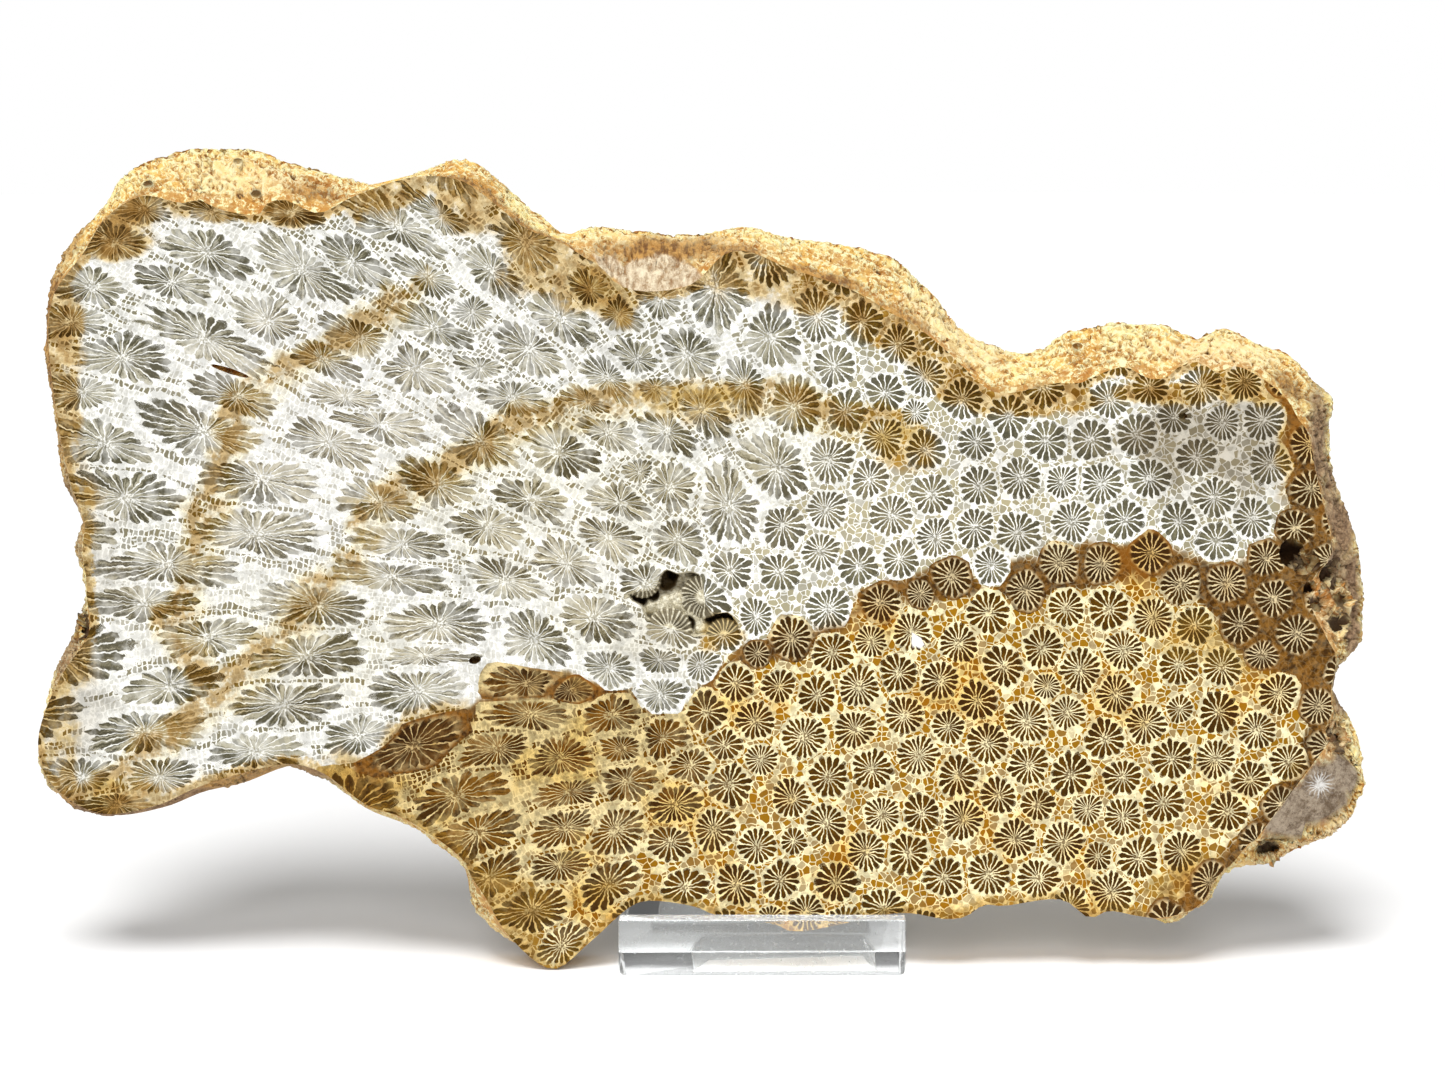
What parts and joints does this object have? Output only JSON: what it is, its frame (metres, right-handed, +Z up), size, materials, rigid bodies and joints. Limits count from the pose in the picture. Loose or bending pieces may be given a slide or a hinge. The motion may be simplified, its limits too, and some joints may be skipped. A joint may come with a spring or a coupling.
{
  "type": "fossil coral slice on a stand",
  "caption": "Polished slab of fossil coral with starry round and drawn-out corallites, gold and white zones and a lumpy rind, leaning upright on a small clear acrylic stand",
  "frame": {"origin": "Middle of the underside of the whole object, on the table the stand and slab stand on", "axes": "+X runs along the long side of the slab, to the right as the polished face is seen; +Y runs from the polished face to the back; +Z is up"},
  "size_m": [0.2374, 0.05, 0.1434],
  "materials": {
    "fossil_coral": "polished on the front face, sawn on the back, rough natural rind round the edge",
    "clear_acrylic": "clear, polished, see-through"
  },
  "bodies": {
    "root": {"coral_slice": "fossil_coral", "display_stand": "clear_acrylic"}
  },
  "joints": []
}
